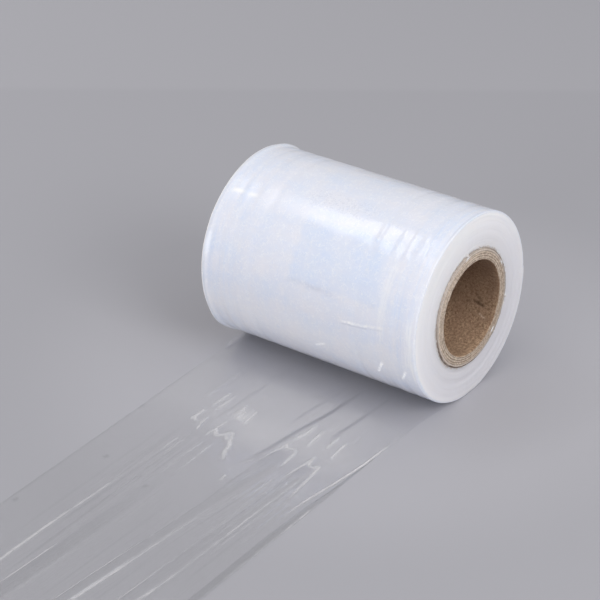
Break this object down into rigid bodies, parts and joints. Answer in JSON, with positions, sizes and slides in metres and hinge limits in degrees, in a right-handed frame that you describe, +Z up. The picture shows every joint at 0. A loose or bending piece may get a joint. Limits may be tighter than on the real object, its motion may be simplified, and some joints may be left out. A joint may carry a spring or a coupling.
{
  "type": "stretch wrap roll",
  "caption": "Hand roll of clear stretch film wound on a paper core, lying on its side with the free end of the film paid out flat in front of it.",
  "frame": {"origin": "centre of the bore through the core, halfway along it", "axes": "+X along the roll's axis towards the end that shows, -Y the way the free film is paid out, +Z up"},
  "size_m": [0.1012, 0.2486, 0.0763],
  "materials": {
    "core_paper": "rough recycled board, spiral wound, matt",
    "film": "clear stretch film, milky white in the wound turns, glossy"
  },
  "bodies": {
    "root": {"core": "core_paper", "film": "film"}
  },
  "joints": []
}
